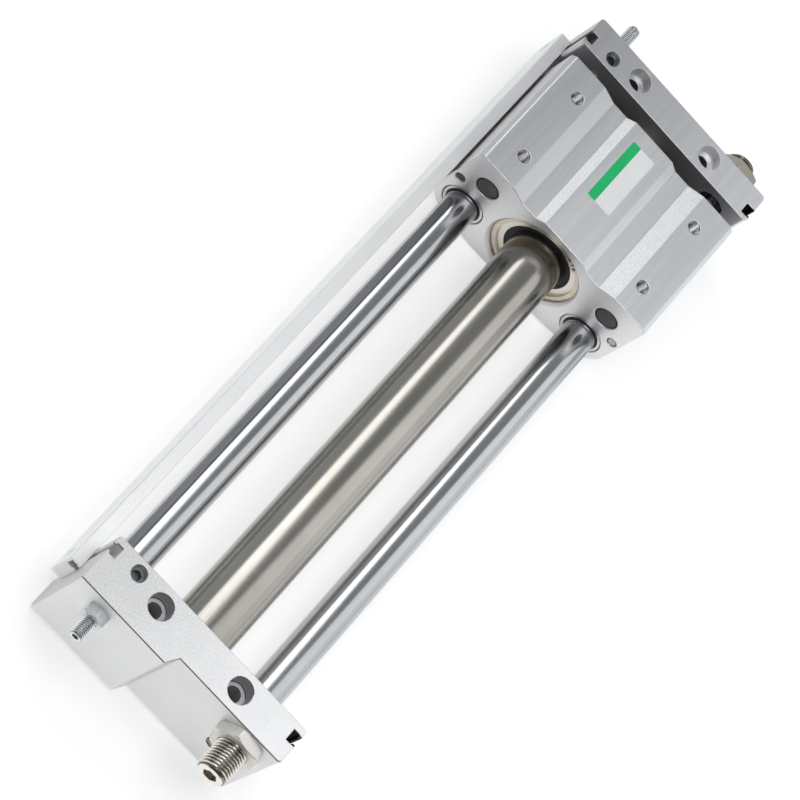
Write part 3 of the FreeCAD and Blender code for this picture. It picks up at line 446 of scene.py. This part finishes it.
def skin(name, rings, material, body, loop=False):
    """A closed mesh through rings of points: a ring of one point closes an end, and a loop
    joins the last ring to the first."""
    mesh = bmesh.new()
    rows = [[mesh.verts.new(point) for point in ring] for ring in rings]
    for here, there in zip(rows, rows[1:] + rows[:1] if loop else rows[1:]):
        count = max(len(here), len(there))
        for i in range(count):
            j = (i + 1) % count
            if len(here) == 1:
                mesh.faces.new((here[0], there[j], there[i]))
            elif len(there) == 1:
                mesh.faces.new((here[i], here[j], there[0]))
            else:
                mesh.faces.new((here[i], here[j], there[j], there[i]))
    bmesh.ops.recalc_face_normals(mesh, faces=mesh.faces[:])
    data = bpy.data.meshes.new(name)
    mesh.to_mesh(data)
    mesh.free()
    data.shade_smooth()
    data.set_sharp_from_angle(angle=math.radians(28))
    data.materials.append(MATERIALS[material])
    item = bpy.data.objects.new(name, data)
    bpy.context.scene.collection.objects.link(item)
    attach(item, body)
    return item


def thread_height(place, turn, pitch):
    """From 0 at the root to 1 at the crest of a 60 degree thread with a flat crest and root."""
    wave = abs(2 * ((place / pitch - turn) % 1.0) - 1)
    return min(1.0, max(0.0, (wave - ROOT_FLAT) / FLANK))


def threaded_bar(node_name, body, material, outward, pitch, chamfer, flats, socket, steps,
                 bore=None, bore_depth=None):
    """A bar along X in place of a plain one, with a thread, a hexagon socket in its outer end and,
    where its radius is given, a bore in its inner end."""
    low, high = (Vector(corner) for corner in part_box(node_name))
    middle = (low + high) / 2
    outer = high.x if outward > 0 else low.x
    length = high.x - low.x
    crest = (high.z - low.z) / 2
    depth = BAR_THREAD_DEPTH * pitch
    end = crest - chamfer
    turns = [i / steps for i in range(steps)]

    def ring(place, radius):
        """Points at a distance from the outer end, with the radius as a function of the turn."""
        x = outer - outward * place
        points = []
        for turn in turns:
            angle = 2 * math.pi * turn
            r = radius(turn)
            points.append((x, middle.y + r * math.cos(angle), middle.z + r * math.sin(angle)))
        return points

    def hexagon(turn):
        return flats / 2 / math.cos(math.radians((turn * 360) % 60 - 30))

    def centre(place):
        return [(outer - outward * place, middle.y, middle.z)]

    rings = [centre(socket), ring(socket, hexagon), ring(0.0, hexagon)]
    count = round(length / pitch * RINGS_PER_PITCH)
    for i in range(count + 1):
        place = length * i / count
        taper = end + LEAD_IN * min(place, length - place)
        rings.append(ring(place, lambda turn: min(
            crest - depth + depth * thread_height(place, turn, pitch), taper)))
    if bore:
        rings.append(ring(length, lambda turn: bore))
        rings.append(ring(length - bore_depth, lambda turn: bore))
        rings.append(centre(length - bore_depth))
    else:
        rings.append(centre(length))
    name = node_name.replace("_adjusting_bolt", "_threaded_bolt").replace("_body", "_threaded_body")
    item = skin(name, rings, material, body)
    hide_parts(node_name)


def tapped_wall(name, body, material, start, axis, radius, length, pitch, depth, steps=32):
    """The thread cut in a hole's wall, as a thin sleeve from the mouth inwards."""
    axis = Vector(axis)
    side = axis.orthogonal().normalized()
    other = axis.cross(side)
    start = Vector(start)

    def ring(place, radius_at):
        points = []
        for i in range(steps):
            angle = 2 * math.pi * i / steps
            r = radius_at(i / steps)
            points.append(start + axis * place + side * (r * math.cos(angle)) + other * (r * math.sin(angle)))
        return points

    mouth = radius - 0.03 * MM
    crest = radius - 0.04 * MM
    rings = [ring(0.0, lambda turn: radius), ring(length, lambda turn: radius)]
    count = round(length / pitch * RINGS_PER_PITCH)
    for i in range(count, -1, -1):
        place = length * i / count
        taper = mouth - LEAD_IN * place
        rings.append(ring(place, lambda turn: max(
            crest - depth * thread_height(place, turn, pitch), taper)))
    skin(name, rings, material, body, loop=True)


def label():
    """A blank foil label on the table's land: a white field and a coloured band along one edge."""
    low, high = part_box("slide_table")
    middle = (low[0] + high[0]) / 2
    level = high[2] - 0.2 * MM  # the land lies this much below the pads
    thickness = 0.1 * MM
    left, right = middle - 9.0 * MM, middle + 27.5 * MM
    field_edge, join, band_edge = -6.2 * MM, 2.5 * MM, 7.0 * MM
    corner = 0.9 * MM
    for name, material, bottom, top, top_is_rounded in (
        ("label_field", "white", field_edge, join, False), ("label_band", "green", join, band_edge, True),
    ):
        outline = []
        for cx, cy, quarter in ((right, top, 0), (left, top, 1), (left, bottom, 2), (right, bottom, 3)):
            inward_x = corner if cx == left else -corner
            inward_y = corner if cy == bottom else -corner
            if (quarter < 2) != top_is_rounded:
                outline.append((cx, cy))
                continue
            for step in range(5):
                angle = math.radians(90 * quarter + 22.5 * step)
                outline.append((cx + inward_x + corner * math.cos(angle),
                                cy + inward_y + corner * math.sin(angle)))
        centre = ((left + right) / 2, (bottom + top) / 2)
        face = level + thickness
        rings = [[(*centre, level)], [(x, y, level) for x, y in outline],
                 [(x, y, face) for x, y in outline], [(*centre, face)]]
        item = skin(name, rings, material, "table")


for end_name, outward in (("near", -1), ("far", 1)):
    threaded_bar(f"{end_name}_adjusting_bolt", f"{end_name}_bolt", "zinc_thread", outward,
                 pitch=1.0 * MM, chamfer=0.7 * MM, flats=3.0 * MM, socket=3.5 * MM, steps=24)
    threaded_bar(f"{end_name}_shock_body", "frame", "nickel_thread", outward,
                 pitch=1.5 * MM, chamfer=1.5 * MM, flats=6.0 * MM, socket=6.0 * MM, steps=48,
                 bore=2.54 * MM, bore_depth=16.0 * MM)
for mount in frame["record"]["mounts"]:
    if mount["name"] == "table_bolts":
        cx, cy, top = mount["pos_m"]
        half_x, half_y = 20.5 * MM, 37.5 * MM
        for i, sx in enumerate((-1, 1)):
            for j, sy in enumerate((-1, 1)):
                tapped_wall(f"table_thread_{i}{j}", "table", "tapped",
                            (cx + sx * half_x, cy + sy * half_y, top - MOUTH_INSET), (0, 0, -1),
                            radius=2.99 * MM, length=11.4 * MM, pitch=1.0 * MM, depth=0.5 * MM)
    if mount["name"].endswith("_air_port"):
        x, y, z = mount["pos_m"]
        inward = -mount["axis"][0]
        tapped_wall(mount["name"] + "_thread", "frame", "tapped",
                    (x + inward * MOUTH_INSET, y, z), (inward, 0, 0),
                    radius=4.29 * MM, length=6.5 * MM, pitch=0.907 * MM, depth=0.5 * MM, steps=40)
label()


def camera():
    """The pinhole camera that was fitted to the photograph's edges."""
    data = bpy.data.cameras.new("camera")
    data.sensor_fit = "HORIZONTAL"
    data.sensor_width = 36.0
    data.lens = 174.1485
    item = bpy.data.objects.new("camera", data)
    right = Vector((0.57014, -0.67245, 0.47196))
    back = Vector((-0.52297, 0.14598, 0.83976)).normalized()
    up = back.cross(right).normalized()
    right = up.cross(back).normalized()
    turn = Matrix((right, up, back)).transposed().to_4x4()
    item.matrix_world = Matrix.Translation(Vector((-0.84483, 0.23524, 1.36428))) @ turn
    data.clip_start = 0.05
    data.clip_end = 20.0
    bpy.context.scene.collection.objects.link(item)
    bpy.context.scene.camera = item


def soft_box(name, first, last, start, end, radiance, distance=1.2):
    """A lamp along the stroke between two angles from +Y over the top, facing the stroke axis."""
    width = 2 * distance * math.tan(math.radians(last - first) / 2)
    data = bpy.data.lights.new(name, "AREA")
    data.shape = "RECTANGLE"
    data.size = end - start
    data.size_y = width
    data.energy = radiance * math.pi * width * (end - start)
    item = bpy.data.objects.new(name, data)
    turn = math.radians((first + last) / 2)
    away = Vector((0, math.cos(turn), math.sin(turn)))
    along = Vector((1, 0, 0))
    axes = Matrix((along, away.cross(along), away)).transposed().to_4x4()
    item.matrix_world = Matrix.Translation(along * (start + end) / 2 + away * distance) @ axes
    bpy.context.scene.collection.objects.link(item)


def studio():
    """Two soft boxes along the stroke, each in steps that get narrower towards the far end, and a
    lamp over the near end, in a room that is dark behind the near end."""
    world = bpy.data.worlds.new("studio")
    world.use_nodes = True
    tree = world.node_tree
    background = tree.nodes["Background"]
    place = tree.nodes.new("ShaderNodeTexCoord")
    split = tree.nodes.new("ShaderNodeSeparateXYZ")
    ramp = tree.nodes.new("ShaderNodeValToRGB")
    ramp.color_ramp.elements[0].color = (0.50, 0.53, 0.56, 1)
    ramp.color_ramp.elements[1].color = (0.26, 0.27, 0.28, 1)
    behind = tree.nodes.new("ShaderNodeMapRange")
    behind.interpolation_type = "SMOOTHSTEP"
    for socket, value in (("From Min", -0.8), ("From Max", -0.1), ("To Min", 0.15), ("To Max", 1.0)):
        behind.inputs[socket].default_value = value
    tree.links.new(place.outputs["Generated"], split.inputs["Vector"])
    tree.links.new(split.outputs["Z"], ramp.inputs["Fac"])
    tree.links.new(split.outputs["X"], behind.inputs["Value"])
    tree.links.new(ramp.outputs["Color"], background.inputs["Color"])
    tree.links.new(behind.outputs["Result"], background.inputs["Strength"])
    bpy.context.scene.world = world
    start = 0.36
    left, right, dim_right = 2.4, 0.92, 0.62
    for name, first, last, end, radiance in (
        ("left_low", 38, 54, 0.95, left), ("left_mid", 54, 60, 0.77, left),
        ("left_upper", 60, 66, 0.65, left), ("left_high", 66, 74, 0.52, left),
        ("left_top", 74, 84, 0.42, left),
        ("right_low", 150, 176, 0.80, dim_right), ("right_broad", 112, 150, 0.95, right),
        ("right_mid", 108, 112, 0.66, right), ("right_high", 101, 108, 0.50, right),
        ("right_top", 91, 101, 0.40, right),
    ):
        soft_box(name, first, last, start, end, radiance)
    soft_box("near_top", 70, 110, start=-0.45, end=0.05, radiance=2.9, distance=0.75)


def floor():
    """A pale floor that keeps the shadow, and looks white to the camera and in reflections except
    under the table and the far plate."""
    mesh = bpy.data.meshes.new("floor")
    half = 3.0
    level = -0.2 * MM  # just below the bed
    corners = [(-half, -half, level), (half, -half, level), (half, half, level), (-half, half, level)]
    mesh.from_pydata(corners, [], [(0, 1, 2, 3)])
    item = bpy.data.objects.new("floor", mesh)
    bpy.context.scene.collection.objects.link(item)
    g = Graph("floor")
    soft = g.noise(3.0, 2.0)
    middle_x, middle_y = 130.0 * MM, -15.0 * MM
    half_x, half_y, fade = 36.0 * MM, 62.0 * MM, 25.0 * MM
    x, y, _ = g.parts()
    from_x = g.math("ABSOLUTE", g.math("SUBTRACT", x, middle_x), 0.0)
    past_x = g.math("MAXIMUM", g.math("SUBTRACT", from_x, half_x), 0.0)
    from_y = g.math("ABSOLUTE", g.math("SUBTRACT", y, middle_y), 0.0)
    past_y = g.math("MAXIMUM", g.math("SUBTRACT", from_y, half_y), 0.0)
    # Reflections see the glow only outside a rectangle under the table and the far plate: a painted shadow
    # there in reflections
    clear = g.math("MINIMUM", g.math("DIVIDE", g.math("ADD", past_x, past_y), fade), 1.0)
    path = g.add("ShaderNodeLightPath")
    seen = g.math("MAXIMUM", path.outputs["Is Glossy Ray"], path.outputs["Is Transmission Ray"])
    seen = g.math("MAXIMUM", path.outputs["Is Camera Ray"], g.math("MULTIPLY", seen, clear))
    glow = 0.56  # brings the lit floor up to white
    g.link(g.math("MULTIPLY", seen, glow), g.shader.inputs["Emission Strength"])
    g.finish(g.ramp(soft, (0.3, 0.64), (0.7, 0.66)), None, None, Roughness=0.8,
             Emission_Color=(1, 1, 1, 1), Specular_IOR_Level=0.2)
    mesh.materials.append(g.material)


bpy.context.scene.view_settings.view_transform = "Standard"
camera()
studio()
floor()
